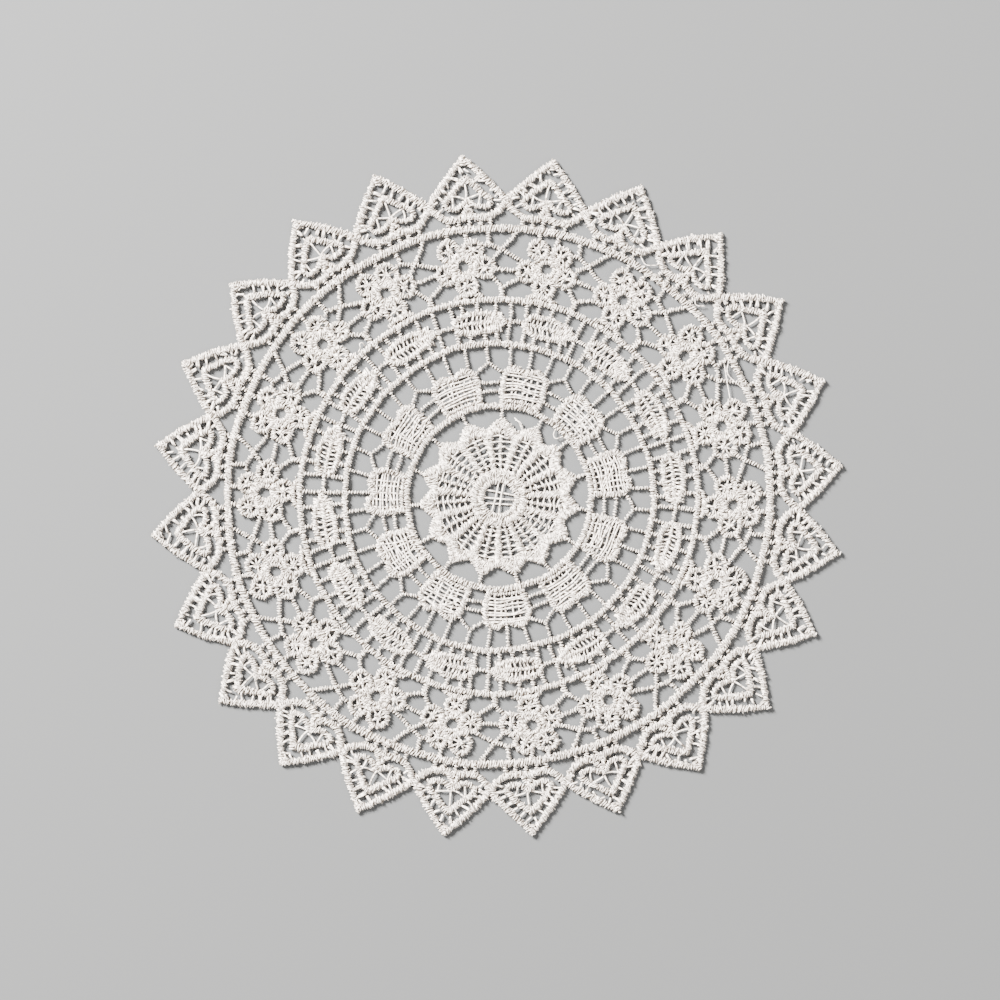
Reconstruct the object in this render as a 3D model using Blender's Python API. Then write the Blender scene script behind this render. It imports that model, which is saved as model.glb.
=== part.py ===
"""A round doily of embroidered cotton lace, 150 mm across, lying flat.

Four rings of cord carry it. A rosette with fifteen points hangs inside the first ring, eleven round pads
stand between the first and the second, sixteen leaves between the second and the third, eighteen flowers
between the third and the fourth, and twenty-four hearts make the rim. Bars of twisted thread tie these
figures to the rings. The openings that the bars leave are cut through, and the rings stand a little proud of
the net.

Turns are degrees clockwise from +Y, seen from above.
"""

import math
from typing import NamedTuple

import bmesh
import bpy
from mathutils import Vector

MM = 0.001

# Driving dimensions. The rings are given below, in RINGS.
NET_THICKNESS = 0.9 * MM
CORD_RADIUS = 0.55 * MM  # of the rings' crowns
CORD_SINK = 0.15 * MM  # of a crown's middle below the net's upper side
CORD_PIECES = 72
BAR_WIDTH = 0.98 * MM
TIP_WIDTH = 1.1 * MM  # the blunt end of a heart
LONGEST_CHORD = 4.6 * MM  # along a ring, between two corners of an opening
WELD = 0.001 * MM
FLAT_ANGLE = math.radians(0.3)
STRAIGHT_ENOUGH = 0.25  # the sine of the angle at a corner below which its two insets are averaged
UPRIGHT = 0.9  # the least upward part of a level face's normal

# How the made mat differs from its even pattern
OVAL_STRETCH = 0.65 * MM  # at the rim, more one way and less across it
OVAL_TURN = 74
TRIANGLE_STRETCH = 0.2 * MM
TRIANGLE_TURN = 97
MIDDLE_DRIFT = 0.45 * MM  # of the centre, fading out at the fourth ring
DRIFT_TURN = 160


class Ring(NamedTuple):
    radius: float
    width: float


RINGS = {
    "first": Ring(20.0 * MM, 1.55 * MM),
    "second": Ring(33.5 * MM, 1.5 * MM),
    "third": Ring(43.1 * MM, 1.55 * MM),
    "fourth": Ring(58.7 * MM, 1.9 * MM),
}


class Corner(NamedTuple):
    """A corner of the openings, by its turn past the figure's middle."""

    turn: float
    radius: float
    ring: str = ""


class Band(NamedTuple):
    """A round of like figures.

    An opening names its corners in order, each followed by what runs from there to the next: a ring, a bar or
    the edge of a figure. ~ takes the next figure's mirrored corner.
    """

    middles: tuple  # the turn of each figure, a little uneven
    corners: dict
    openings: tuple


def on_ring(turn, name):
    return Corner(turn, RINGS[name].radius, name)


HUB = Band(
    middles=(0, 90, 180, 270),
    corners={
        "cross": Corner(0, 0.0),
        "start": Corner(0, 3.3 * MM),
        "early": Corner(24, 3.3 * MM),
        "halfway": Corner(45, 3.3 * MM),
    },
    openings=("cross bar start edge early edge halfway edge ~early edge ~start bar",),
)

ROSETTE = Band(
    middles=(2, 29, 51, 75, 98, 121, 145, 168, 193, 217, 240, 265, 288, 312, 336),
    corners={
        "hook": on_ring(0, "first"),
        "point": Corner(0, 17.5 * MM),
        "flank": Corner(6, 16.6 * MM),
        "valley": Corner(12, 15.3 * MM),
    },
    openings=("hook ring ~hook bar ~point edge ~flank edge valley edge flank edge point bar",),
)

PADS = Band(
    middles=(13, 46, 78.5, 111, 143, 176, 209, 241, 272, 306, 338.5),
    corners={
        "foot": on_ring(11.6, "first"),
        "hip": Corner(12.6, 23.05 * MM),
        "waist": Corner(12.8, 25.3 * MM),
        "shoulder": Corner(11.4, 27.7 * MM),
        "brow": Corner(8, 28.7 * MM),
        "lobe": Corner(4.5, 29.1 * MM),
        "notch": Corner(0, 28.3 * MM),
        "apex": Corner(16.36, 29.3 * MM),
        "over_notch": on_ring(0, "second"),
        "over_brow": on_ring(8, "second"),
        "over_apex": on_ring(16.36, "second"),
    },
    openings=(
        "foot ring ~foot edge ~hip bar hip edge",
        "hip bar ~hip edge ~waist bar waist edge",
        "waist bar ~waist edge ~shoulder bar apex bar shoulder edge",
        "notch edge lobe edge brow bar over_brow ring over_notch bar",
        "brow edge shoulder bar apex bar over_apex ring over_brow bar",
        "apex bar ~shoulder edge ~brow bar ~over_brow ring over_apex bar",
        "~brow edge ~lobe edge ~notch bar ~over_notch ring ~over_brow bar",
    ),
)

LEAVES = Band(
    middles=(
        15, 37.5, 60.5, 82.5, 105, 127, 149.5, 172.5,
        194.5, 216.5, 238.5, 260, 284, 305.5, 327.5, 352.5,
    ),
    corners={
        "upper_flank": Corner(6.6, 40.0 * MM),
        "lower_flank": Corner(6.8, 36.4 * MM),
        "tip": Corner(10.5, 38.3 * MM),
        "heel": Corner(15.9, 38.3 * MM),
        "over_flank": on_ring(6.5, "third"),
        "over_tip": on_ring(10.5, "third"),
        "over_heel": on_ring(15.9, "third"),
        "under_flank": on_ring(6.7, "second"),
        "under_tip": on_ring(10.5, "second"),
        "under_heel": on_ring(15.9, "second"),
    },
    openings=(
        "over_flank ring over_tip bar tip edge upper_flank bar",
        "over_tip ring over_heel bar heel bar tip bar",
        "tip bar heel bar under_heel ring under_tip bar",
        "lower_flank edge tip bar under_tip ring under_flank bar",
    ),
)

FLOWERS = Band(
    middles=(
        12, 32, 52.5, 72.5, 92, 111.5, 131, 151.5, 171.5,
        191.5, 211.5, 231.5, 251.5, 270.5, 290.5, 310.5, 330.5, 351.5,
    ),
    corners={
        "root": on_ring(3.8, "third"),
        "root_flank": Corner(4.2, 45.6 * MM),
        "cleft": Corner(5.2, 46.9 * MM),
        "side_low": Corner(7.3, 47.5 * MM),
        "side": Corner(8.1, 49.9 * MM),
        "side_top": Corner(7.3, 52.6 * MM),
        "top_flank": Corner(6.0, 55.4 * MM),
        "top": Corner(4.4, 57.0 * MM),
        "spread": Corner(8.8, 54.2 * MM),
        "knot": Corner(9.3, 46.2 * MM),
        "over_top": on_ring(5.6, "fourth"),
        "over_spread": on_ring(12.4, "fourth"),
        "under_knot": on_ring(9.3, "third"),
    },
    openings=(
        "over_top ring over_spread bar spread bar top_flank bar",
        "over_spread ring ~over_top bar ~top edge ~top_flank edge ~side_top bar spread bar",
        "spread bar ~side_top edge ~side bar side edge side_top bar",
        "side bar ~side edge ~side_low bar knot bar side_low edge",
        "root edge root_flank edge cleft edge side_low bar knot bar under_knot ring",
        "under_knot bar knot bar ~side_low edge ~cleft edge ~root_flank edge ~root ring",
    ),
)

HEARTS = Band(
    middles=(
        9, 24.5, 40, 55, 70, 84.5, 99, 113, 128, 143.5, 159, 174,
        189, 204, 219, 233.5, 248, 264, 278.5, 293, 308.5, 323.5, 338.5, 353.5,
    ),
    corners={
        "under_lobe": on_ring(4.4, "fourth"),
        "lobe": Corner(4.9, 60.9 * MM),
        "flank": Corner(6.5, 62.2 * MM),
        "joint": Corner(7.5, 63.4 * MM),
    },
    openings=("under_lobe bar lobe edge flank edge joint edge ~flank edge ~lobe bar ~under_lobe ring",),
)

RIM_SHOULDER = Corner(6.9, 66.3 * MM)
RIM_VALLEY = Corner(7.5, 65.5 * MM)
RIM_TIP_RADIUS = 75.1 * MM  # the mean of the hearts' tips
TIP_UNEVENNESS = 0.35 * MM  # each tip from the mean, on a wave of its own
TIP_WAVES = 5
TIP_WAVE_TURN = 30


def lie(turn, radius):
    """Where a point of the even pattern lies on the made mat, which is a little oval and drawn off centre."""
    reach = radius / RIM_TIP_RADIUS
    stretch = OVAL_STRETCH * reach**2 * math.cos(math.radians(2 * (turn - OVAL_TURN)))
    stretch += TRIANGLE_STRETCH * reach * math.cos(math.radians(3 * (turn - TRIANGLE_TURN)))
    drift = MIDDLE_DRIFT * max(0.0, 1 - radius / RINGS["fourth"].radius)
    place = Vector((math.sin(math.radians(turn)), math.cos(math.radians(turn)))) * (radius + stretch)
    return place + Vector((math.sin(math.radians(DRIFT_TURN)), math.cos(math.radians(DRIFT_TURN)))) * drift


def turn_in(band, index, turn):
    """The turn on the mat of a place in figure number index, shared out between two uneven middles."""
    count = len(band.middles)
    whole, part = divmod(index + turn * count / 360, 1)
    before = band.middles[int(whole) % count]
    after = band.middles[(int(whole) + 1) % count]
    return before + part * ((after - before) % 360)


def corner_named(band, name):
    if not name.startswith("~"):
        return band.corners[name]
    corner = band.corners[name[1:]]
    return corner._replace(turn=360 / len(band.middles) - corner.turn)


def loop_on_mat(band, index, opening):
    """The places round an opening, each with the half width of what runs on from there."""
    words = opening.split()
    corners = [corner_named(band, name) for name in words[::2]]
    places = []
    for start, end, run in zip(corners, corners[1:] + corners[:1], words[1::2]):
        first = turn_in(band, index, start.turn)
        past = (turn_in(band, index, end.turn) - first + 180) % 360 - 180
        half_width = 0.0
        steps = 1
        if run == "bar":
            half_width = BAR_WIDTH / 2
        if run == "ring":
            half_width = RINGS[start.ring].width / 2
            steps = math.ceil(math.radians(abs(past)) * start.radius / LONGEST_CHORD)
        for step in range(steps):
            places.append((lie(first + past * step / steps, start.radius), half_width))
    return places


def inset_loop(places):
    """The opening's outline: each corner moved to where the inset edges on its two sides meet."""
    points = [place for place, half_width in places]
    area = sum(a.cross(b) for a, b in zip(points, points[1:] + points[:1]))
    side = math.copysign(1, area)
    outline = []
    for number, (place, inset) in enumerate(places):
        before, inset_before = places[number - 1]
        after = places[(number + 1) % len(places)][0]
        into = (place - before).normalized()
        out = (after - place).normalized()
        normal_in = Vector((-into.y, into.x)) * side
        normal_out = Vector((-out.y, out.x)) * side
        spread = normal_in.cross(normal_out)
        if abs(spread) < STRAIGHT_ENOUGH:
            shift = (normal_in * inset_before + normal_out * inset) / 2
        else:
            shift = Vector((
                (inset_before * normal_out.y - inset * normal_in.y) / spread,
                (inset * normal_in.x - inset_before * normal_out.x) / spread,
            ))
        outline.append(place + shift)
    return outline


def rim_outline():
    """The saw edge: two corners at each blunt tip, then a shoulder, a valley and the next shoulder."""
    outline = []
    for index, middle in enumerate(HEARTS.middles):
        wave = math.sin(math.radians(TIP_WAVES * (middle - TIP_WAVE_TURN)))
        tip_radius = RIM_TIP_RADIUS + TIP_UNEVENNESS * wave
        half_tip = math.degrees(TIP_WIDTH / 2 / tip_radius)
        outline.append(lie(middle - half_tip, tip_radius))
        outline.append(lie(middle + half_tip, tip_radius))
        for turn, radius in (
            (RIM_SHOULDER.turn, RIM_SHOULDER.radius),
            (RIM_VALLEY.turn, RIM_VALLEY.radius),
            (360 / len(HEARTS.middles) - RIM_SHOULDER.turn, RIM_SHOULDER.radius),
        ):
            outline.append(lie(turn_in(HEARTS, index, turn), radius))
    return outline


def add_loop(curve, points, height=0.0):
    spline = curve.splines.new("POLY")
    spline.use_cyclic_u = True
    spline.points.add(len(points) - 1)
    for spline_point, point in zip(spline.points, points):
        spline_point.co = (point.x, point.y, height, 1)


def mesh_object(name, source, collection):
    """The evaluated source as a welded mesh in a new object. The source is removed."""
    if source.name not in collection.objects:
        collection.objects.link(source)
    bpy.context.view_layer.update()
    mesh = bpy.data.meshes.new_from_object(source.evaluated_get(bpy.context.evaluated_depsgraph_get()))
    bpy.data.objects.remove(source)
    body = bmesh.new()
    body.from_mesh(mesh)
    bmesh.ops.remove_doubles(body, verts=body.verts, dist=WELD)
    bmesh.ops.recalc_face_normals(body, faces=body.faces)
    body.to_mesh(mesh)
    body.free()
    result = bpy.data.objects.new(name, mesh)
    collection.objects.link(result)
    return result


def make_net(rim, openings, collection):
    """The whole mat at the net's thickness: one filled outline with every opening in it."""
    curve = bpy.data.curves.new("net_outline", "CURVE")
    curve.dimensions = "2D"
    curve.fill_mode = "BOTH"
    curve.extrude = NET_THICKNESS / 2
    for points in [rim] + openings:
        add_loop(curve, points)
    net = mesh_object("net", bpy.data.objects.new("net_outline", curve), collection)
    body = bmesh.new()
    body.from_mesh(net.data)
    bmesh.ops.translate(body, verts=body.verts, vec=(0, 0, NET_THICKNESS / 2))
    level_faces = [face for face in body.faces if abs(face.normal.z) > UPRIGHT]
    level = set(level_faces)
    level_edges = [edge for edge in body.edges if level.issuperset(edge.link_faces)]
    bmesh.ops.beautify_fill(body, faces=level_faces, edges=level_edges)
    body.to_mesh(net.data)
    body.free()
    return net


def make_crown(name, radius, middle, collection):
    """The upper half of a ring's cord, which stands out of the net."""
    curve = bpy.data.curves.new(name, "CURVE")
    curve.dimensions = "3D"
    curve.bevel_depth = CORD_RADIUS
    curve.bevel_resolution = 1
    turns = [360 * piece / CORD_PIECES for piece in range(CORD_PIECES)]
    add_loop(curve, [lie(turn, radius) - middle for turn in turns], NET_THICKNESS - CORD_SINK)
    return mesh_object(name, bpy.data.objects.new(name, curve), collection)


def thread_material():
    material = bpy.data.materials.new("off_white_cotton")
    material.use_nodes = True
    shader = material.node_tree.nodes["Principled BSDF"]
    shader.inputs["Base Color"].default_value = (0.80, 0.78, 0.74, 1)
    shader.inputs["Roughness"].default_value = 0.85
    shader.inputs["Metallic"].default_value = 0.0
    return material


def make_doily(collection):
    rim = rim_outline()
    low = Vector((min(p.x for p in rim), min(p.y for p in rim)))
    high = Vector((max(p.x for p in rim), max(p.y for p in rim)))
    middle = (low + high) / 2
    openings = [
        [point - middle for point in inset_loop(loop_on_mat(band, index, opening))]
        for band in (HUB, ROSETTE, PADS, LEAVES, FLOWERS, HEARTS)
        for index in range(len(band.middles))
        for opening in band.openings
    ]
    net = make_net([point - middle for point in rim], openings, collection)
    crowns = [make_crown(name, ring.radius, middle, collection) for name, ring in RINGS.items()]
    for crown in crowns:
        union = net.modifiers.new(crown.name, "BOOLEAN")
        union.operation = "UNION"
        union.solver = "EXACT"
        union.object = crown
    doily = mesh_object("doily", net, collection)
    for crown in crowns:
        bpy.data.objects.remove(crown)

    body = bmesh.new()
    body.from_mesh(doily.data)
    bmesh.ops.dissolve_limit(body, angle_limit=FLAT_ANGLE, verts=body.verts, edges=body.edges)
    bmesh.ops.triangulate(body, faces=body.faces)
    body.to_mesh(doily.data)
    body.free()
    doily.data.materials.clear()
    doily.data.materials.append(thread_material())


for old in list(bpy.data.objects):
    bpy.data.objects.remove(old, do_unlink=True)
lace = bpy.data.collections.new("lace_doily")
bpy.context.scene.collection.children.link(lace)
make_doily(lace)
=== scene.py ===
"""A round doily of machine-embroidered cotton lace, stitch by stitch, lying face up on a pale table."""

import bpy
import numpy as np
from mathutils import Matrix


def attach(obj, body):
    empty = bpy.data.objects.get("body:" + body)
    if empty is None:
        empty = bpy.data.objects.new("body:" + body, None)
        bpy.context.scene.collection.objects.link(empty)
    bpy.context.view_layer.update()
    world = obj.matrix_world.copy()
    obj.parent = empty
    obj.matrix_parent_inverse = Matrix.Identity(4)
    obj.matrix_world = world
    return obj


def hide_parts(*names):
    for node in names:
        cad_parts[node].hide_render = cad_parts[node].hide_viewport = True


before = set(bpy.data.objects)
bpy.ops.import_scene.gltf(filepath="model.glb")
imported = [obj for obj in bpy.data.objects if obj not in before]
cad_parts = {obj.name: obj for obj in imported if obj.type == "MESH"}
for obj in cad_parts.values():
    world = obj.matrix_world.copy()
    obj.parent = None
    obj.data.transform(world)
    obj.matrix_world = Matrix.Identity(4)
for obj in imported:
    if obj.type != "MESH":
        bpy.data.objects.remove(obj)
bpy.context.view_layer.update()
MM = 0.001

# The camera looks straight down from arm's length, on a place just off the middle of the mat.
CAMERA_OVER = (0.43 * MM, -1.3 * MM)
CAMERA_HEIGHT = 0.9
WIDTH_SEEN = 0.2174  # across the picture, at the lace
LACE_LEVEL = 1 * MM
SENSOR_WIDTH = 36  # in millimetres, as a lens is given
camera_data = bpy.data.cameras.new("camera")
camera = bpy.data.objects.new("camera", camera_data)
bpy.context.scene.collection.objects.link(camera)
camera.location = (*CAMERA_OVER, CAMERA_HEIGHT)
camera_data.sensor_width = SENSOR_WIDTH
camera_data.lens = SENSOR_WIDTH * (CAMERA_HEIGHT - LACE_LEVEL) / WIDTH_SEEN
bpy.context.scene.camera = camera


# The four rings. Each is a cord of running threads that satin stitch covers from side to side, and the whole
# doily hangs on them. The film that the lace was sewn on has been washed out, and the rings dried oval.
RINGS = {
    "first": {"radius": 20.0 * MM, "width": 1.5 * MM},
    "second": {"radius": 33.5 * MM, "width": 1.45 * MM},
    "third": {"radius": 43.1 * MM, "width": 1.45 * MM},
    "fourth": {"radius": 58.7 * MM, "width": 1.8 * MM},
}
RING_STITCH = {
    "steps": 8, "pitch": 0.57 * MM, "lift": 0.6 * MM, "rise": 0.36 * MM, "slant": 0.5, "unrest": 1.6,
    "strays": 1.4,
}
RING_WANDER = 0.06 * MM  # of a ring's radius, by each wave of RING_WAVES round it
RING_WAVES = (4, 7, 11, 16, 23)
RING_SWELL = 0.04  # of a ring's width, in SWELLS swells round it
SWELLS = 9
HEART_TIPS = 75.1 * MM  # the mean radius of the mat's edge points
PATTERN_CENTRE = np.array([-0.09, -0.47]) * MM  # from the middle of the mat's box
OVAL_STRETCH = 0.7 * MM  # at the heart tips: longer one way and shorter across it
OVAL_TURN = 73  # turns are in degrees clockwise from +Y
TRIANGLE_STRETCH = 0.28 * MM  # at the heart tips
TRIANGLE_TURN = 105
MIDDLE_DRIFT = 0.52 * MM  # of the middle of the pattern, fading out at the heart tips
DRIFT_TURN = 138
THREAD = 0.2 * MM  # from a thread's middle to a corner of its section
CORD_LIFT = 0.55 * MM  # of a cord's middle above the table
MAP_SIDE = 0.17  # metres across the flat map of the whole mat


def lie(turn, radius):
    """Where a point of the even pattern lies, for arrays of turns in degrees clockwise from +Y.

    The radius grows by two waves round the mat, one with two crests and one with three, each in proportion to
    a power of the radius, and what lies inside the rim drifts a little towards DRIFT_TURN.
    """
    reach = radius / HEART_TIPS
    out = radius + OVAL_STRETCH * reach**2 * np.cos(np.radians(2 * (turn - OVAL_TURN)))
    out = out + TRIANGLE_STRETCH * reach * np.cos(np.radians(3 * (turn - TRIANGLE_TURN)))
    drift = MIDDLE_DRIFT * (1 - reach)
    angle, way = np.radians(turn), np.radians(DRIFT_TURN)
    x = out * np.sin(angle) + drift * np.sin(way)
    y = out * np.cos(angle) + drift * np.cos(way)
    return np.stack([x, y], -1) + PATTERN_CENTRE


def unit(vectors):
    return vectors / np.linalg.norm(vectors, axis=-1, keepdims=True)


ABOUT_UP = (0.02, 0.01, 1.0)  # along no thread


class Skein:
    """The threads of one piece, collected as tubes, each of a few rows of points round its thread."""

    def __init__(self, seed):
        self.rng = np.random.default_rng(seed)
        self.points, self.quads, self.ends, self.twists, self.count = [], [], [], [], 0

    def tubes(self, rows, angles, along, closed=False):
        """Joins row after row of each tube with quads, and closes open ends with a fan.

        rows is an array of tubes, rows, points round a row and coordinates.
        """
        tubes, number, sides = rows.shape[:3]
        grid = np.arange(tubes * number * sides).reshape(tubes, number, sides) + self.count
        around = np.roll(grid, -1, 2)
        if not closed:
            for fan in range(1, sides - 1):
                self.ends.append(grid[:, -1, [0, fan, fan + 1]])
                self.ends.append(grid[:, 0, [fan + 1, fan, 0]])
        stop = number if closed else number - 1
        ahead, ahead_around = np.roll(grid, -1, 1)[:, :stop], np.roll(around, -1, 1)[:, :stop]
        quads = np.stack([grid[:, :stop], around[:, :stop], ahead_around, ahead], -1)
        self.quads.append(quads.reshape(-1, 4))
        self.points.append(rows.reshape(-1, 3))
        # The cosine of each point's way round also sets where the cotton gets painted shade, down a thread's
        # sides.
        twist = np.empty((tubes, number, sides, 3))
        twist[..., 0], twist[..., 1] = np.cos(angles), np.sin(angles)
        twist[..., 2] = along[..., None] / MM
        self.twists.append(twist.reshape(-1, 3))
        self.count += rows.size // 3

    def threads(self, lines, radius, outward=None, sides=3, closed=False):
        """Round threads along lines of points: at each point, a circle in the plane across its line."""
        if closed:
            ahead = np.roll(lines, -1, 1) - np.roll(lines, 1, 1)
        else:
            ahead = np.gradient(lines, axis=1)
        ahead = unit(ahead)
        if outward is None:
            outward = np.broadcast_to(ABOUT_UP, lines.shape)
        outward = unit(outward - (outward * ahead).sum(-1, keepdims=True) * ahead)
        across = np.cross(ahead, outward)
        angles = 2 * np.pi * np.arange(sides) / sides
        circle = np.cos(angles)[:, None] * outward[:, :, None] + np.sin(angles)[:, None] * across[:, :, None]
        rows = lines[:, :, None] + radius * circle
        steps = np.linalg.norm(np.diff(lines, axis=1), axis=2)
        along = np.concatenate([np.zeros((len(lines), 1)), np.cumsum(steps, 1)], 1)
        self.tubes(rows, angles, along, closed)


def measure_route(route, half_width, closed):
    """The route as an array, its lengths up to each point, and its half width at each."""
    route = np.asarray(route, float)
    half_width = np.broadcast_to(half_width, len(route)).astype(float)
    if closed:
        route = np.concatenate([route, route[:1]])
        half_width = np.append(half_width, half_width[0])
    steps = np.linalg.norm(np.diff(route, axis=0), axis=1)
    return route, np.concatenate([[0], np.cumsum(steps)]), half_width


CHORD = 0.25 * MM  # each way along a route, for its direction


def read_route(route, lengths, places, closed):
    """Points and sideways directions at the given lengths along a flat route, by its chords.

    Past an open route's ends, the points go straight on.
    """
    on_route = places % lengths[-1] if closed else np.clip(places, 0, lengths[-1])

    def point_at(where):
        where = where % lengths[-1] if closed else where
        return np.stack([np.interp(where, lengths, route[:, k]) for k in (0, 1)], -1)

    ahead = unit(point_at(on_route + CHORD) - point_at(on_route - CHORD))
    past = 0 if closed else (places - on_route)[..., None]
    return point_at(on_route) + ahead * past, np.stack([-ahead[..., 1], ahead[..., 0]], -1)


UNEVEN = {"early": 0.12, "slack": 0.06, "lean": 0.15, "skew": 0.25}  # of a turn, its width, rise and slant
SUNK = 0.8 * THREAD  # of a covering thread's middle inside the cord's edge
LOWEST = 1.05 * THREAD  # for a thread's middle above the table


def satin(skein, route, half_width, closed=False, pitch=0.53 * MM, lift=CORD_LIFT, rise=0.3 * MM, steps=6,
          slant=0.35, unrest=1.0):
    """A thread wound round a route in close turns, as a satin stitch covers a cord.

    Its line is a helix on an oval, half_width across and rise up and down, one turn each pitch, and each turn
    is slanted along the route by slant times its width. A turn comes a little early or late, lies a little
    slack or tight, leans and skews by chance, in the shares of UNEVEN times unrest.
    """
    route, lengths, widths = measure_route(route, half_width, closed)
    turns = max(2, round(lengths[-1] / pitch))
    phase = np.arange(turns * steps + (not closed)) / steps
    chance = skein.rng.normal(0, 1, (4, 2 * turns + 1)) * unrest
    if closed:
        chance[:, -1] = chance[:, 0]
    early, slack, lean, skew = [np.interp(2 * phase, np.arange(2 * turns + 1), row) for row in chance]
    angle = 2 * np.pi * (phase + skein.rng.uniform())
    places = (phase + UNEVEN["early"] * early) / turns * lengths[-1]
    wide = np.interp(places % lengths[-1] if closed else places, lengths, widths)
    wide = wide * (1 + UNEVEN["slack"] * slack) - SUNK
    places = places + wide * np.cos(angle) * (slant + UNEVEN["skew"] * skew)
    point, side = read_route(route, lengths, places, closed)
    height = np.maximum(lift + rise * (1 + UNEVEN["lean"] * lean) * np.sin(angle), LOWEST)
    line = np.column_stack([point + side * (wide * np.cos(angle))[:, None], height])
    outward = np.column_stack([side * (np.cos(angle) * rise)[:, None], np.sin(angle) * wide])
    skein.threads(line[None], THREAD, outward[None], closed=closed)


def running_threads(laid, route, half_width, closed=False, lift=CORD_LIFT, rise=0.12 * MM, spacing=1.1 * MM):
    """The threads that are sewn first and lie inside a cord, as one flat tube of six sides.

    A row of the tube is an oval, half_width across and rise up and down, and there is one each spacing.
    """
    route, lengths, widths = measure_route(route, half_width, closed)
    count = max(3, round(lengths[-1] / spacing) + 1)
    places = np.linspace(0, lengths[-1], count, endpoint=not closed)
    point, side = read_route(route, lengths, places, closed)
    wide = np.interp(places, lengths, widths)[:, None, None] - THREAD
    angles = np.pi / 6 + 2 * np.pi * np.arange(6) / 6
    across = point[:, None] + side[:, None] * wide * np.cos(angles)[None, :, None]
    height = np.broadcast_to(lift + rise * np.sin(angles), (count, 6))
    rows = np.concatenate([across, height[:, :, None]], -1)
    # The way round is counted from the top, so that the cotton's painted shade falls on the tube's sides.
    laid.tubes(rows[None], angles - np.pi / 2, places[None], closed)


STRAY_OFFSET = 0.5  # the most, of the half width, to either side of the cord's middle
STRAY_LENGTH = (0.5, 0.9)  # of half a stray stitch, in half widths
STRAY_LEVEL = (-0.08, 0.06)  # millimetres past the top of the cord
STRAY_DROOP = 0.22 * MM  # of its ends


def stray_stitches(skein, route, half_width, closed, top, each_mm):
    """Short stitches that lie askew over a cord, as many as each_mm along it, at places left to chance."""
    route, lengths, widths = measure_route(route, half_width, closed)
    number = int(lengths[-1] / MM * each_mm)
    if not number:
        return
    places = skein.rng.uniform(0, lengths[-1], number)
    point, side = read_route(route, lengths, places, closed)
    wide = np.interp(places, lengths, widths)
    point = point + side * (wide * skein.rng.uniform(-STRAY_OFFSET, STRAY_OFFSET, number))[:, None]
    way = skein.rng.normal(0, 0.8, number)[:, None]
    ahead = np.stack([side[:, 1], -side[:, 0]], -1)
    length = wide * skein.rng.uniform(*STRAY_LENGTH, number)
    half = (np.cos(way) * side + np.sin(way) * ahead) * length[:, None]
    ends = np.stack([point - half, point, point + half], 1)
    level = top + skein.rng.uniform(*STRAY_LEVEL, number) * MM
    height = np.stack([level - STRAY_DROOP, level, level - STRAY_DROOP], 1)
    skein.threads(np.concatenate([ends, height[..., None]], -1), 0.9 * THREAD)


def cord(skein, laid, route, half_width, closed=False, lift=CORD_LIFT, rise=0.3 * MM, strays=0.9, core=1.0,
         **stitch):
    """A cord: running threads, core times as wide as it, satin stitch over them, and strays to each mm."""
    running_threads(laid, route, core * half_width, closed, lift)
    satin(skein, route, half_width, closed, lift=lift, rise=rise, **stitch)
    stray_stitches(skein, route, half_width, closed, lift + rise, strays)


class Signal:
    """A socket of a material's node tree, so that shader maths reads as a Python expression."""

    def __init__(self, tree, socket=None):
        self.tree, self.socket = tree, socket

    def node(self, kind, settings=None, output=0, **values):
        """Adds a node: its settings first, then its sockets' values or links, by name or by in_NUMBER."""
        node = self.tree.nodes.new(kind)
        for name, value in (settings or {}).items():
            setattr(node, name, value)
        for name, value in values.items():
            key = int(name[3:]) if name.startswith("in_") else name
            if isinstance(value, Signal):
                self.tree.links.new(value.socket, node.inputs[key])
            else:
                node.inputs[key].default_value = value
        return Signal(self.tree, node.outputs[output])

    def parts(self):
        """The three parts of a vector."""
        split = self.tree.nodes.new("ShaderNodeSeparateXYZ")
        self.tree.links.new(self.socket, split.inputs[0])
        return [Signal(self.tree, part) for part in split.outputs]

    def math(self, operation, first, second=0.0):
        return self.node("ShaderNodeMath", {"operation": operation}, in_0=first, in_1=second)

    def __add__(self, other):
        return self.math("ADD", self, other)

    def __radd__(self, other):
        return self.math("ADD", other, self)

    def __sub__(self, other):
        return self.math("SUBTRACT", self, other)

    def __rsub__(self, other):
        return self.math("SUBTRACT", other, self)

    def __mul__(self, other):
        return self.math("MULTIPLY", self, other)

    def __rmul__(self, other):
        return self.math("MULTIPLY", other, self)


COTTON_CREST = (0.95, 0.84, 0.735, 1)  # along the outer side of a thread
COTTON_FLANK_SHADE = (0.15, 0.124, 0.1, 1)  # painted shade down its sides, where two threads lie together
COTTON_INSIDE_SHADE = (0.34, 0.296, 0.246, 1)  # painted shade: a darker copy of the cotton for the threads that others cover
CREST_FROM, CREST_FULL = -0.1, 0.9  # cosines of the way round the thread
CREST_SHARE = {"most": 2.4, "broad": 0.3, "fine": 3.2, "ply": 0.12}  # the most, and what patterns take off, leaving more painted shade
BROAD_SCALE = 45  # patches to a metre, which yellowing makes
FINE_SCALE = 1400  # about one to a stitch, for specks of painted shade
PLY = 0.4  # millimetres along a thread for one turn of its two plies
PLY_DEPTH = 0.03 * MM
ROUGHNESS = {"least": 0.5, "fine": 0.3}


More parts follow.
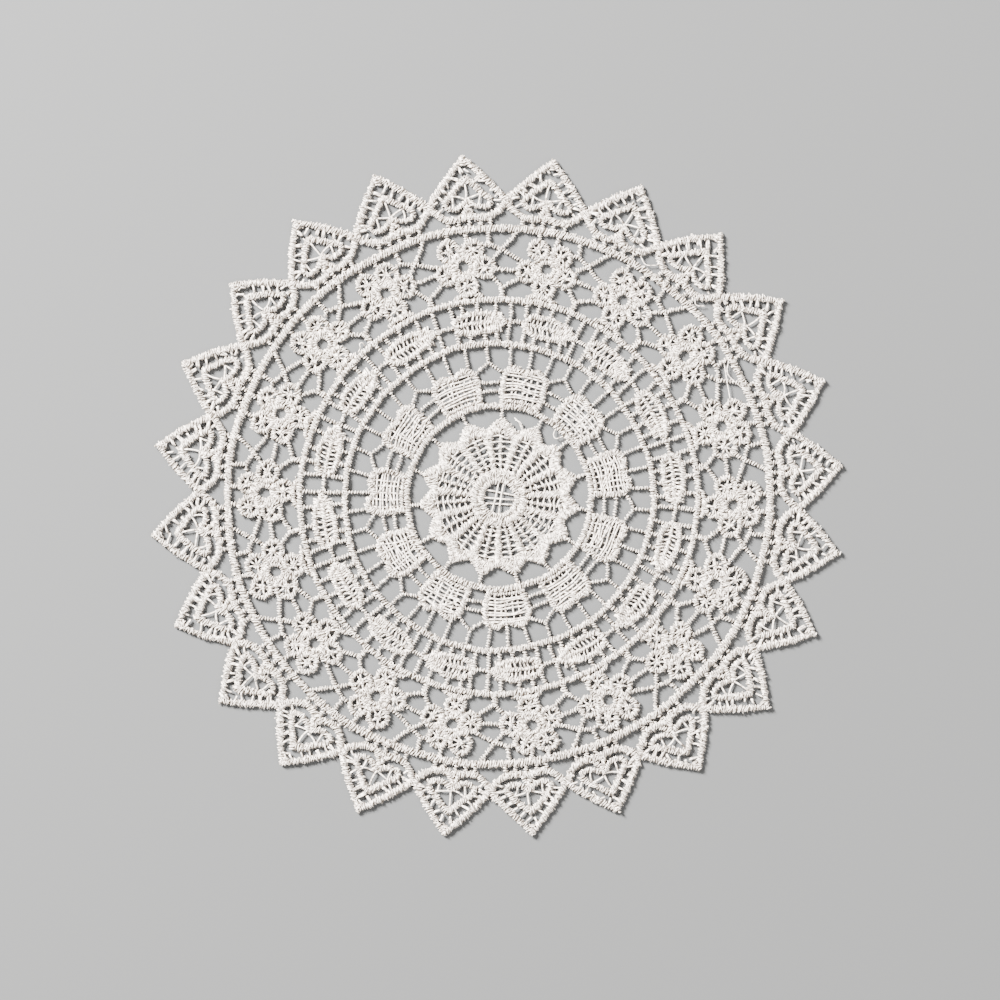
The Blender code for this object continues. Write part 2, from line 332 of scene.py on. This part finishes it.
def cotton(name, crest):
    """Mercerised two-ply cotton, paler along the crest of each thread, with painted shade down its sides
    between threads.

    The share of crest falls from 1 to 0 as the cosine of the way round the thread falls from CREST_FULL to
    CREST_FROM, and the rest is painted shade. The plies are a wave of twice that way round plus a turn for
    each
    PLY along the thread. The share also wanders over the mat and from stitch to stitch; where it drops, more
    painted shade shows.
    """
    material = bpy.data.materials.new(name)
    material.use_nodes = True
    tree = material.node_tree
    shader = tree.nodes["Principled BSDF"]
    start = Signal(tree)
    cosine, sine, along = start.node("ShaderNodeAttribute", {"attribute_name": "twist"}, output=1).parts()
    way_round = start.math("ARCTAN2", sine, cosine)
    ply = 0.5 + 0.5 * start.math("SINE", 2 * way_round + (2 * np.pi / PLY) * along)
    spot = start.node("ShaderNodeTexCoord", output=3)
    flat = start.node("ShaderNodeVectorMath", {"operation": "MULTIPLY"}, in_0=spot, in_1=(1, 1, 0))
    broad = start.node("ShaderNodeTexNoise", Vector=flat, Scale=BROAD_SCALE, Detail=2)
    fine = start.node("ShaderNodeTexNoise", Vector=flat, Scale=FINE_SCALE, Detail=1)
    # Where the cosine is low, down the thread's sides, the crest colour gives way to painted shade.
    share = start.node("ShaderNodeMapRange", {"interpolation_type": "SMOOTHSTEP"}, Value=cosine,
                       in_1=CREST_FROM, in_2=CREST_FULL, in_3=0.0, in_4=1.0)
    share = share * (CREST_SHARE["most"] - CREST_SHARE["broad"] * broad - CREST_SHARE["fine"] * fine
                     - CREST_SHARE["ply"] * ply)
    tone = start.node("ShaderNodeMix", {"data_type": "RGBA", "clamp_factor": True}, output=2,
                      in_0=share, in_6=COTTON_FLANK_SHADE, in_7=crest)
    bump = start.node("ShaderNodeBump", Strength=0.35, Distance=PLY_DEPTH, Height=ply)
    roughness = ROUGHNESS["least"] + ROUGHNESS["fine"] * fine
    tree.links.new(tone.socket, shader.inputs["Base Color"])
    tree.links.new(roughness.socket, shader.inputs["Roughness"])
    tree.links.new(bump.socket, shader.inputs["Normal"])
    shader.inputs["Sheen Weight"].default_value = 0.1
    shader.inputs["Sheen Roughness"].default_value = 0.5
    shader.inputs["Specular IOR Level"].default_value = 0.35
    return material


def lay_out(name, skein, crest=COTTON_CREST):
    """Makes the piece of a skein: its lowest faces first, then the fans that close its threads' ends.

    The flat map is the mat seen from above. The attribute twist holds the cosine and sine of each point's way
    round its thread, and its millimetres along it.
    """
    points = np.concatenate(skein.points)
    quads = np.concatenate(skein.quads)
    ends = np.concatenate([np.empty((0, 3), int), *skein.ends])
    quads = quads[np.argsort(points[quads, 2].mean(1), kind="stable")]
    corners = np.concatenate([quads.ravel(), ends.ravel()])
    mesh = bpy.data.meshes.new(name)
    mesh.vertices.add(len(points))
    mesh.vertices.foreach_set("co", points.ravel())
    mesh.loops.add(len(corners))
    mesh.loops.foreach_set("vertex_index", corners)
    mesh.polygons.add(len(quads) + len(ends))
    starts = np.concatenate([np.arange(len(quads)) * 4, quads.size + np.arange(len(ends)) * 3])
    mesh.polygons.foreach_set("loop_start", starts)
    mesh.update(calc_edges=True)
    mesh.polygons.foreach_set("use_smooth", np.ones(len(starts), bool))
    twist = mesh.attributes.new("twist", "FLOAT_VECTOR", "POINT")
    twist.data.foreach_set("vector", np.concatenate(skein.twists).ravel())
    flat_map = mesh.uv_layers.new(name="OFBake")
    flat_map.uv.foreach_set("vector", (points[corners, :2] / MAP_SIDE + 0.5).ravel())
    mesh.materials.append(cotton(name + "_cotton", crest))
    piece = bpy.data.objects.new(name, mesh)
    bpy.context.scene.collection.objects.link(piece)
    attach(piece, "root")
    return piece


laid = Skein(1)  # the running threads of every cord, which are sewn before the stitches that cover them
skein = Skein(2)
turns = np.arange(0, 360, 2.0)
for ring in RINGS.values():
    wander = sum(
        skein.rng.normal(0, RING_WANDER) * np.sin(np.radians(waves * turns + skein.rng.uniform(0, 360)))
        for waves in RING_WAVES
    )
    half_width = ring["width"] / 2 * (1 + RING_SWELL * np.sin(np.radians(SWELLS * turns)))
    cord(skein, laid, lie(turns, ring["radius"] + wander), half_width, closed=True, **RING_STITCH)
rings = lay_out("rings", skein)


# The rosette. A hub of two rings round a small window with crossed threads, thirty ribs that fan out from it,
# rounds of single thread over and under the ribs, and a border of three rows of satin stitch that comes to
# fifteen points. A short tapered bar ties each point to the first ring.
ROSETTE = (2, 29, 51, 75, 98, 121, 145, 168, 193, 217, 240, 265, 288, 312, 336)
HUB_RINGS = ((3.95, 0.8, 1.2), (5.4, 1.15, 2.0))  # radius and half width in mm, and unrest
RIBS = ((0, 0.34, 0.42), (12, 0.6, 1.12))  # turn past a point, half width in mm at the hub and at the border
RIB_RADII = (5.6, 13.9)  # of both ends
ROUNDS = (7.3, 8.45, 9.7, 10.95, 12.15, 13.2)  # radii of the woven rounds
BORDER_ROWS = (  # radius in the valleys and at the points, half width, unrest, strays
    (14.3, 16.7, 0.84, 1.6, 1.8), (13.9, 16.0, 0.95, 2.0, 2.2), (13.6, 14.9, 0.92, 2.0, 2.2),
)
BORDER_COURSE = (  # turn past a point, and the share of the way from valley to point
    (-12, 0), (-8.5, 0.2), (-3.2, 0.7), (0, 1), (3.2, 0.7), (8.5, 0.2),
)
POINT_TIES = (16.7 * MM, 19.6 * MM)  # radii of both ends
WINDOW_REACH = 3.4  # half the length of the window's threads, in mm
UPRIGHTS = ((-0.95, 0.24), (0.5, 0.17))  # offset in mm to the right, and slope
LEVELS = ((-1.35, -0.06), (-0.15, -0.08), (1.2, -0.2))  # offset in mm upwards, and slope
LOOSE = 0.19 * MM  # as THREAD, for a thread that lies by itself


def place(middles, index, turns, radii):
    """Points of figure number index, at turns past its middle.

    They are shared out where the middles stand unevenly: a turn of one whole step is at the next middle.
    """
    middles = np.asarray(middles, float)
    whole, part = np.divmod(index + np.asarray(turns, float) * len(middles) / 360, 1)
    before = middles[whole.astype(int) % len(middles)]
    after = middles[(whole.astype(int) + 1) % len(middles)]
    return lie(before + part * ((after - before) % 360), np.asarray(radii, float) * np.ones(len(part)))


def through(points, closed=False, per=5):
    """A smooth route through the points, in per steps from each to the next.

    It is a cubic on each span, and its slope at a point is half the chord between that point's neighbours.
    """
    points = np.asarray(points, float)
    if closed:
        padded = np.concatenate([points[-1:], points, points[:2]])
    else:
        padded = np.concatenate([2 * points[:1] - points[1:2], points, 2 * points[-1:] - points[-2:-1]])
    a, b, c, d = padded[:-3, None], padded[1:-2, None], padded[2:-1, None], padded[3:, None]
    t = (np.arange(per) / per)[None, :, None]
    squared, cubed = a - 2.5 * b + 2 * c - d / 2, 1.5 * (b - c) + (d - a) / 2
    route = b + (c - a) / 2 * t + squared * t**2 + cubed * t**3
    route = route.reshape(-1, points.shape[1])
    return route if closed else np.concatenate([route, points[-1:]])


def shaken(skein, points, amount):
    """The points, each moved by chance."""
    return points + skein.rng.normal(0, amount, np.shape(points))


def bowed(skein, start, end, bow, count):
    """A flat route of count points, bowed sideways in a parabola by chance, and the parabola, from 0 to 1."""
    share = np.linspace(0, 1, count)[:, None]
    chord = np.asarray(end) - np.asarray(start)
    swell = 4 * share * (1 - share)
    aside = np.array([-chord[1], chord[0]]) * skein.rng.normal(0, bow) * swell
    return start + chord * share + aside, swell


def strand(skein, start, end, low=0.5, high=0.65, bow=0.04, radius=LOOSE, count=5):
    """A single thread from start to end, low to high mm above the table, bowed sideways and up by chance."""
    flat, swell = bowed(skein, start, end, bow, count)
    height = np.full((count, 1), skein.rng.uniform(low, high) * MM)
    height = height + skein.rng.uniform(-0.1, 0.15) * MM * swell
    skein.threads(np.hstack([flat, height])[None], radius, sides=4)


def bar(skein, laid, start, end, half_width):
    """A thin cord from start to end, nearly straight."""
    route, _ = bowed(skein, start, end, bow=0.025, count=5)
    cord(skein, laid, route, half_width, pitch=0.6 * MM, rise=0.26 * MM, slant=0.6, unrest=1.3, strays=0.4,
         core=0.8)


skein = Skein(3)
for radius, half_width, unrest in HUB_RINGS:
    cord(skein, laid, lie(turns[::3], radius * MM), half_width * MM, closed=True, unrest=unrest, strays=2)
for index in range(len(ROSETTE)):
    for past, narrow, wide in RIBS:
        rib = place(ROSETTE, index, np.full(4, past), np.linspace(*RIB_RADII, 4) * MM)
        rib = through(shaken(skein, rib, 0.09 * MM))
        cord(skein, laid, rib, np.linspace(narrow, wide, len(rib)) * MM, rise=0.24 * MM, slant=0.8, unrest=2,
             strays=1.5)
for radius in ROUNDS:
    spots = np.arange(0, 360, 6.0)
    wobble = skein.rng.normal(0, 0.18 * MM, len(spots))
    route = through(lie(spots, radius * MM + wobble), closed=True, per=2)
    height = CORD_LIFT + 0.17 * MM * np.sin(np.arange(len(route)) * np.pi / 2)
    skein.threads(np.column_stack([route, height])[None], LOOSE, sides=4, closed=True)
turns_past, share = np.transpose(BORDER_COURSE)
for valley, point, half_width, unrest, strays in BORDER_ROWS:
    radii = (valley + (point - valley) * share) * MM
    row = np.concatenate([place(ROSETTE, index, turns_past, radii) for index in range(len(ROSETTE))])
    row = through(shaken(skein, row, 0.08 * MM), closed=True, per=3)
    cord(skein, laid, row, half_width * MM, closed=True, slant=0.5, unrest=unrest, strays=strays)
for index in range(len(ROSETTE)):
    bar(skein, laid, *place(ROSETTE, index, (0, 0), POINT_TIES), half_width=np.linspace(0.56, 0.38, 5) * MM)
window = lie(np.zeros(1), np.zeros(1))[0]
for offset, slope in UPRIGHTS:
    lean = slope * WINDOW_REACH
    ends = window + np.array([[offset - lean, -WINDOW_REACH], [offset + lean, WINDOW_REACH]]) * MM
    strand(skein, *ends, bow=0.015, count=7)
for offset, slope in LEVELS:
    lean = slope * WINDOW_REACH
    ends = window + np.array([[-WINDOW_REACH, offset - lean], [WINDOW_REACH, offset + lean]]) * MM
    strand(skein, *ends, low=0.3, high=0.45, bow=0.015, count=7)
rosette = lay_out("rosette", skein)


# The eleven pads between the first and the second ring. Each is a net of single threads, a long way round and
# a short way out, inside a broad border of satin stitch that stands on the first ring and dips at its top.
PADS = (13, 46, 78.5, 111, 143, 176, 209, 241, 272, 306, 338.5)
PAD_BORDER = (  # turn and radius
    (9.9, 20.4), (10.3, 23.0), (10.3, 25.4), (9.3, 27.2), (7.1, 28.1), (4.2, 28.3), (1.2, 27.6), (0, 27.2),
    (-1.2, 27.6), (-4.2, 28.3), (-7.1, 28.1), (-9.3, 27.2), (-10.3, 25.4), (-10.3, 23.0), (-9.9, 20.4),
)
PAD_FOOT = (9.5, 21.1)  # half its length as a turn, and its radius
NET_ROWS = ((22.5, 9.6), (24.0, 9.6), (25.5, 9.6), (27.0, 8.3))  # radius, and half its length as a turn
NET_PAIR = (-0.34, 0.34)  # where the two threads of a row lie beside it, in mm
NET_COLUMNS = np.arange(-6.4, 6.5, 3.2)  # turns at the foot
NET_TAPER = 0.95  # the turn at the top, as a share of the turn at the foot
NET_ENDS = (21.0 * MM, 28.0 * MM)  # radii of the columns' ends
NET_STRAYS = 4
STRAY_TURNS, STRAY_RADII = (-8, 8), (22, 27)  # between which a stray thread of the net ends
skein = Skein(4)
border_turns, border_radii = np.transpose(PAD_BORDER)
foot_reach, foot_radius = PAD_FOOT
for index in range(len(PADS)):
    border = shaken(skein, place(PADS, index, border_turns, border_radii * MM), 0.12 * MM)
    cord(skein, laid, through(border), 0.78 * MM, slant=0.5, unrest=2.0, strays=2)
    foot = place(PADS, index, np.linspace(-foot_reach, foot_reach, 6), foot_radius * MM)
    cord(skein, laid, through(foot), 0.45 * MM, rise=0.24 * MM, slant=0.8, unrest=1.8)
    lean = skein.rng.normal(0, 0.25)
    for radius, reach in NET_ROWS:
        for apart in skein.rng.normal(NET_PAIR, 0.08):
            radii = radius + apart + np.array([-lean, 0, 0, lean]) + skein.rng.normal(0, 0.15, 4)
            corners = place(PADS, index, np.array((-1, -0.35, 0.35, 1)) * reach, radii * MM)
            route = through(corners, per=3)
            height = np.full(len(route), skein.rng.uniform(0.5, 0.75) * MM)
            skein.threads(np.column_stack([route, height])[None], 0.2 * MM, sides=4)
    for past in NET_COLUMNS:
        drift = skein.rng.normal(0, 0.6, 2)
        ends = place(PADS, index, (past + drift[0], past * NET_TAPER + drift[1]), NET_ENDS)
        strand(skein, *ends, low=0.3, high=0.5, bow=0.03)
    for _ in range(NET_STRAYS):
        stray_turns, stray_radii = skein.rng.uniform(*STRAY_TURNS, 2), skein.rng.uniform(*STRAY_RADII, 2)
        ends = place(PADS, index, stray_turns, stray_radii * MM)
        strand(skein, *ends, low=0.45, high=0.8, radius=0.15 * MM)
pads = lay_out("pads", skein)


# The sixteen leaves between the second and the third ring, all pointing the same way round. A leaf is an
# outline and a middle rib of satin stitch, with slanted single threads between them that close up towards the
# point.
LEAVES = (15, 37.5, 60.5, 82.5, 105, 127, 149.5, 172.5, 194.5, 216.5, 238.5, 260, 284, 305.5, 327.5, 352.5)
LEAF_OUTLINE = (  # turn and radius
    (10.1, 38.2), (9.1, 38.6), (7.5, 39.3), (5.1, 39.9), (2.0, 40.2), (-1.2, 40.2), (-3.9, 39.9),
    (-5.8, 39.2), (-6.5, 38.15), (-5.8, 37.1), (-3.9, 36.3), (-1.2, 36.0), (2.0, 36.05), (5.1, 36.4),
    (7.5, 37.1), (9.1, 37.8), (10.1, 38.2),
)
LEAF_RIB = ((-6.2, 38.1), (0, 38.15), (9.2, 38.2))  # turn and radius
LEAF_THREADS = np.concatenate([np.arange(-5.2, 3.6, 1.42), np.arange(4.2, 8.6, 0.6)])  # turns, to the point
LEAF_SIDES = ((36.0, 38.1, 0.35), (38.1, 40.2, -0.35))  # radii of a thread's ends, and its lean as a turn
skein = Skein(5)
outline_turns, outline_radii = np.transpose(LEAF_OUTLINE)
rib_turns, rib_radii = np.transpose(LEAF_RIB)
for index in range(len(LEAVES)):
    outline = shaken(skein, place(LEAVES, index, outline_turns, outline_radii * MM), 0.08 * MM)
    outline[-1] = outline[0]
    cord(skein, laid, through(outline, per=4), 0.7 * MM, slant=0.6, unrest=1.9, strays=1.8)
    rib = through(place(LEAVES, index, rib_turns, rib_radii * MM))
    cord(skein, laid, rib, np.linspace(0.4, 0.6, len(rib)) * MM, rise=0.26 * MM, slant=0.9, unrest=2,
         strays=1.5)
    for inner, outer, lean in LEAF_SIDES:
        for past in LEAF_THREADS:
            ends = place(LEAVES, index, (past + lean, past - lean), (inner * MM, outer * MM))
            strand(skein, *shaken(skein, ends, 0.12 * MM), low=0.35, high=0.6, bow=0.05, count=3,
                   radius=0.22 * MM)
leaves = lay_out("leaves", skein)


# The eighteen flowers between the third and the fourth ring: five round petals about a small eyelet with a
# collar, and a foot on the third ring. A petal is a solid button, a ring of satin stitch round it, and
# between the two a few threads with pinholes.
FLOWERS = (
    12, 32.5, 53, 72.5, 92, 112, 131, 151.5, 171.5, 191.5, 211.5, 231.5, 251.5, 271, 291, 311, 331, 351.5,
)
FLOWER_RADIUS = 50.7 * MM  # from the mat's middle to a flower's
FLOWER_FOOT = ((-3.9, 43.9), (-1.5, 44.5), (1.6, 44.5), (4.0, 43.9))  # turn and radius
EYELET_RADIUS = 1.68 * MM
COLLAR_RADIUS = 2.8 * MM
PETALS = ((-37, 4.45), (32, 4.1), (99.5, 4.45), (174.5, 4.15), (251, 4.15))  # turn from outwards, reach in mm
PETAL_RADIUS = 2.1 * MM
BUTTON_RADIUS = 0.42 * MM
SPOKES = np.arange(7) * np.pi / 3.5
SPOKE_ENDS = (0.5, 1.7)  # mm from a petal's middle
circle = np.radians(np.arange(0, 360, 22.5))
circle = np.stack([np.sin(circle), np.cos(circle)], -1)
skein = Skein(6)
foot_turns, foot_radii = np.transpose(FLOWER_FOOT)
for index in range(len(FLOWERS)):
    middle, above = place(FLOWERS, index, (0, 0), (FLOWER_RADIUS, FLOWER_RADIUS + MM))
    out = unit(above - middle)
    turned = np.radians(skein.rng.normal(0, 3))
    out = out * np.cos(turned) + np.array([out[1], -out[0]]) * np.sin(turned)
    across = np.array([out[1], -out[0]])
    eyelet = shaken(skein, middle + EYELET_RADIUS * circle[::2], 0.07 * MM)
    cord(skein, laid, through(eyelet, closed=True, per=2), 0.6 * MM, closed=True, unrest=1.5, strays=1.5)
    cord(skein, laid, middle + COLLAR_RADIUS * circle, 0.74 * MM, closed=True, lift=0.48 * MM, rise=0.24 * MM,
         slant=0.7, unrest=2, pitch=0.66 * MM, strays=1.5)
    foot = through(place(FLOWERS, index, foot_turns, foot_radii * MM), per=3)
    cord(skein, laid, foot, 0.62 * MM, rise=0.24 * MM, slant=0.7, unrest=2, strays=1.5)
    for turn, reach in PETALS:
        angle = np.radians(turn + skein.rng.normal(0, 2))
        reach = reach * MM * skein.rng.normal(1, 0.015)
        centre = middle + (across * np.sin(angle) + out * np.cos(angle)) * reach
        size = skein.rng.normal(1, 0.04)
        around = shaken(skein, centre + PETAL_RADIUS * size * circle, 0.09 * MM)
        cord(skein, laid, around, 0.68 * MM, closed=True, pitch=0.57 * MM, rise=0.32 * MM, slant=0.45,
             unrest=1.9, strays=1.3)
        cord(skein, laid, centre + BUTTON_RADIUS * circle[::2], 0.48 * MM, closed=True, pitch=0.5 * MM,
             unrest=1.9, strays=4)
        for spoke in SPOKES + skein.rng.normal(0, 0.3, len(SPOKES)):
            ray = np.array([np.sin(spoke), np.cos(spoke)])
            strand(skein, *(centre + ray * end * MM for end in SPOKE_ENDS), count=2)
flowers = lay_out("flowers", skein)


# The twenty-four hearts of the rim, sewn side to side on the fourth ring. This is the outer outline of each,
# a broad satin stitch that comes to a point outwards and to two lobes on the ring.
HEARTS = (
    9.5, 25, 40.5, 55.5, 70.5, 85, 99.5, 113.5, 128, 143.5, 159, 174,
    189, 204, 219, 233.5, 248, 263.5, 278.5, 293, 308.5, 323.5, 339, 354,
)
HEART_OUTLINE = (  # turn and radius of the right half, from the tip to the notch
    (0, 74.4), (3.3, 70.1), (6.5, 66.0), (7.2, 64.8), (6.75, 63.5), (5.4, 62.0), (3.7, 61.15), (1.6, 61.15),
    (0, 61.65),
)
TIP_UNEVENNESS = 0.35 * MM  # how much longer or shorter than the rest a heart may be
LOBES_END = 66  # radius in mm from which a longer heart is drawn out, over the length of the tip
TIP_LENGTH = 8
TIP_CORD = ((72.6, 0.85), (73.7, 0.75), (74.9, 0.55))  # radius and half width, in mm


def heart_route(skein, index, turns_past, radii, amount):
    """A closed route round heart number index, sharp at its tip and straight to both sides of it."""
    right = shaken(skein, place(HEARTS, index, turns_past, radii), amount)
    left = shaken(skein, place(HEARTS, index, -turns_past[::-1], radii[::-1]), amount)
    return np.concatenate([right[:3], through(right[2:])[1:], through(left[:-2])[1:], left[-2:-1]])


skein = Skein(7)
outline_turns, outline_radii = np.transpose(HEART_OUTLINE)
tip_radii, tip_widths = np.transpose(TIP_CORD)
for index, middle in enumerate(HEARTS):
    longer = TIP_UNEVENNESS * np.sin(np.radians(5 * (middle - 30)))
    radii = outline_radii * MM + longer * np.clip((outline_radii - LOBES_END) / TIP_LENGTH, 0, 1)
    outline = heart_route(skein, index, outline_turns, radii, 0.07 * MM)
    reach = np.linalg.norm(outline, axis=1) / MM
    half_width = (0.88 - 0.28 * np.clip((reach - 71) / 3.5, 0, 1)) * MM  # narrower at the tip
    cord(skein, laid, outline, half_width, closed=True, slant=0.45, unrest=2, strays=1.8)
    tip = place(HEARTS, index, (0, 0, 0), tip_radii * MM + longer)
    cord(skein, laid, tip, tip_widths * MM, slant=0.3, unrest=1.2)
hearts = lay_out("hearts", skein)


# Inside each heart: a smaller heart of satin stitch round an open window, a keel of crossed stitches from its
# notch down to the outline, short threads across the band between the two hearts, and a few long ones across
# the window.
INNER_HEART = (  # as HEART_OUTLINE
    (0, 69.9), (1.4, 68.4), (2.7, 66.9), (3.9, 65.6), (4.5, 64.7), (4.25, 63.9), (3.2, 63.4), (2.1, 63.5),
    (1.25, 63.9), (0.6, 64.5), (0, 65.0),
)
KEEL = ((1.2, 61.5), (-0.2, 64.2))  # turn and radius of both ends
BAND_CROSSINGS = (  # turn, radius, and how far a crossing reaches each way in turn and in radius
    (0.7, 71.6, 0.4, 0.6), (1.9, 70.1, 0.6, 0.7), (3.0, 68.7, 0.6, 0.7), (4.1, 67.4, 0.6, 0.6),
    (5.1, 66.2, 0.7, 0.5), (5.9, 65.1, 0.8, 0.1), (5.7, 63.5, 0.6, -0.4),
)
WINDOW_THREADS = (  # turn and radius of both ends
    (0, 68.8, 0.1, 65.0), (0, 65.3, -2.8, 66.3), (0, 65.2, 2.7, 66.1), (-2.8, 66.3, -2.8, 63.3),
    (2.7, 66.0, 2.4, 63.3),
)
skein = Skein(8)
outline_turns, outline_radii = np.transpose(INNER_HEART)
keel_turns, keel_radii = np.transpose(KEEL)
for index in range(len(HEARTS)):
    outline = heart_route(skein, index, outline_turns, outline_radii * MM, 0.1 * MM)
    reach = np.linalg.norm(outline, axis=1) / MM
    half_width = 0.68 + 0.1 * np.clip((reach - 63.7) / 1, 0, 1) + 0.14 * np.clip((reach - 67.5) / 2, 0, 1)
    half_width = half_width * MM  # broader past its lobes, and again at its tip
    cord(skein, laid, outline, half_width, closed=True, slant=0.5, unrest=2, strays=1.6)
    for side in (-1, 1):
        keel = place(HEARTS, index, keel_turns * side, keel_radii * MM)
        cord(skein, laid, shaken(skein, keel, 0.15 * MM), 0.64 * MM, slant=0.6, unrest=1.8)
        for turn, radius, wide, high in BAND_CROSSINGS:
            crossing = np.array([turn * side, radius]) + skein.rng.normal(0, (0.22, 0.22))
            reach = np.array([wide * side, high]) + skein.rng.normal(0, (0.25, 0.2))
            crossing_turns, crossing_radii = np.transpose([crossing - reach, crossing + reach])
            ends = place(HEARTS, index, crossing_turns, crossing_radii * MM)
            for _ in range(skein.rng.integers(1, 4)):
                strand(skein, *shaken(skein, ends, 0.16 * MM), radius=0.22 * MM)
    for turn_in, radius_in, turn_out, radius_out in WINDOW_THREADS:
        ends = place(HEARTS, index, (turn_in, turn_out), (radius_in * MM, radius_out * MM))
        strand(skein, *shaken(skein, ends, 0.2 * MM), bow=0.06, radius=0.21 * MM)
small_hearts = lay_out("small_hearts", skein)


# The bars that tie the figures to the rings and to each other. A bar is a few running threads with a thread
# wound round them, about a millimetre thick. Bars that share an end meet there in a knot.
NEXT = 1  # marks a place on the next figure round
PAD_BARS = (  # in these four tables, turn and radius of both ends
    ((11.6, 23.05), (-11.6, 23.05, NEXT)), ((11.8, 25.3), (-11.8, 25.3, NEXT)),
    ((10.4, 27.4), (16.36, 29.4)), ((-10.4, 27.4, NEXT), (16.36, 29.4)), ((16.36, 29.4), (16.36, 33.2)),
    ((0, 27.8), (0, 33.2)), ((7.6, 28.3), (8, 33.2)), ((-7.6, 28.3), (-8, 33.2)),
)
LEAF_BARS = (
    ((11.1, 33.8), (11.1, 38.2)), ((11.1, 38.2), (11.1, 42.8)), ((9.6, 38.2), (11.1, 38.2)),
    ((11.1, 38.2), (15.9, 38.2)), ((-6.2, 39.2), (-6.6, 42.8)), ((-3.0, 40.2), (-3.0, 42.8)),
    ((1.2, 40.2), (1.2, 42.8)), ((6.3, 39.4), (6.5, 42.8)), ((-6.2, 37.2), (-6.6, 33.8)),
    ((-2.1, 36.0), (-2.1, 33.8)), ((2.7, 36.0), (2.7, 33.8)), ((7.2, 37.0), (7.3, 33.8)),
)
FLOWER_BARS = (
    ((-2.7, 56.4), (-2.6, 58.5)), ((1.1, 55.6), (1.4, 58.5)), ((6.3, 55.1), (6.1, 58.5)),
    ((4.9, 54.9), (6.3, 55.1)), ((6.3, 55.1), (9.2, 54.0)), ((9.2, 54.0), (12.4, 58.4)),
    ((-5.8, 51.7, NEXT), (9.2, 54.0)), ((7.0, 51.9), (9.2, 54.0)), ((7.3, 49.8), (-7.2, 49.7, NEXT)),
    ((6.6, 48.0), (9.4, 45.6)), ((-6.1, 47.7, NEXT), (9.4, 45.6)), ((9.2, 45.8), (9.1, 43.3)),
    ((9.6, 45.8), (9.8, 43.3)),
)
HEART_BARS = (
    ((-4.3, 60.8), (-4.3, 59.0)), ((-2.3, 60.8), (-2.1, 59.0)), ((0, 61.6), (0, 59.0)),
    ((2.3, 60.8), (2.1, 59.0)), ((4.3, 60.8), (4.3, 59.0)),
)
ZONES = (  # middles, bars, and half a bar's width
    (PADS, PAD_BARS, 0.43 * MM), (LEAVES, LEAF_BARS, 0.52 * MM), (FLOWERS, FLOWER_BARS, 0.55 * MM),
    (HEARTS, HEART_BARS, 0.55 * MM),
)
skein = Skein(9)
for middles, zone_bars, half_width in ZONES:
    step = 360 / len(middles)
    for index in range(len(middles)):
        knots = {}
        for knot in [end for ends in zone_bars for end in ends]:
            turn = knot[0] + step * (NEXT in knot[2:])
            knots[knot] = shaken(skein, place(middles, index, (turn,), (knot[1] * MM,))[0], 0.12 * MM)
        for start, end in zone_bars:
            bar(skein, laid, knots[start], knots[end], half_width)
bars = lay_out("bars", skein)


# A few slack loops and cut ends of the sewing threads, which stand in the windows.
LOOSE_THREADS = (  # each a row of turns and radii
    ((11.0, 17.7), (15.5, 16.8), (20.5, 15.0)), ((12.0, 17.3), (16.5, 16.9), (20.5, 15.3)),
    ((39.6, 19.5), (41.0, 18.2), (44.2, 17.9), (46.4, 19.4)), ((58.8, 57.2), (63.0, 55.6), (67.6, 54.4)),
    ((59.5, 58.0), (62.0, 56.4), (66.2, 57.9)), ((30.6, 61.0), (32.5, 59.9), (34.4, 61.0)),
    ((44.6, 61.0), (46.0, 59.9), (47.4, 61.1)),
    ((315.9, 43.9), (317.2, 44.3), (317.8, 45.0), (318.6, 44.8), (318.5, 43.8)),
)
SLACK = 0.25 * MM  # how high the middle of one stands over its ends
skein = Skein(10)
for row in LOOSE_THREADS:
    turns_along, radii = np.transpose(row)
    route = through(lie(turns_along, radii * MM))
    height = CORD_LIFT + SLACK * np.sin(np.linspace(0, np.pi, len(route)))
    skein.threads(np.column_stack([route, height])[None], 0.13 * MM, sides=4)
loose_threads = lay_out("loose_threads", skein)


# The running threads, sewn through the whole mat before anything else. They are what holds it in one sheet.
# The running threads get a darker copy of the cotton, as painted shade under the stitches that cover them.
running = lay_out("running_threads", laid, COTTON_INSIDE_SHADE)
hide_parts("doily")


# A pale table top under a plain soft studio light.
FLOOR_GREY = (0.055, 0.055, 0.054, 1)
FLOOR_REACH = 3  # half its side, in metres
WORLD_STRENGTH = 0.6
LIGHTS = (  # name, place and side in metres, and power in watts
    ("key", (-1.1, 1.0, 0.95), 0.5, 600), ("fill", (1.2, -0.8, 1.1), 1.0, 60),
)
floor_mesh = bpy.data.meshes.new("floor")
corners = [(x * FLOOR_REACH, y * FLOOR_REACH, 0) for x, y in ((-1, -1), (1, -1), (1, 1), (-1, 1))]
floor_mesh.from_pydata(corners, [], [(0, 1, 2, 3)])
floor = bpy.data.objects.new("floor", floor_mesh)
bpy.context.scene.collection.objects.link(floor)
floor_paint = bpy.data.materials.new("pale_table")
floor_paint.use_nodes = True
floor_paint.node_tree.nodes["Principled BSDF"].inputs["Base Color"].default_value = FLOOR_GREY
floor_paint.node_tree.nodes["Principled BSDF"].inputs["Roughness"].default_value = 0.7
floor_mesh.materials.append(floor_paint)
world = bpy.data.worlds.new("studio")
bpy.context.scene.world = world
world.use_nodes = True
world.node_tree.nodes["Background"].inputs["Color"].default_value = (1, 1, 1, 1)
world.node_tree.nodes["Background"].inputs["Strength"].default_value = WORLD_STRENGTH
for name, spot, side, power in LIGHTS:
    light_data = bpy.data.lights.new(name, "AREA")
    light_data.energy = power
    light_data.size = side
    light = bpy.data.objects.new(name, light_data)
    bpy.context.scene.collection.objects.link(light)
    light.location = spot
    x, y, z = spot
    light.rotation_euler = (np.arctan2(np.hypot(x, y), z), 0, np.arctan2(x, -y))
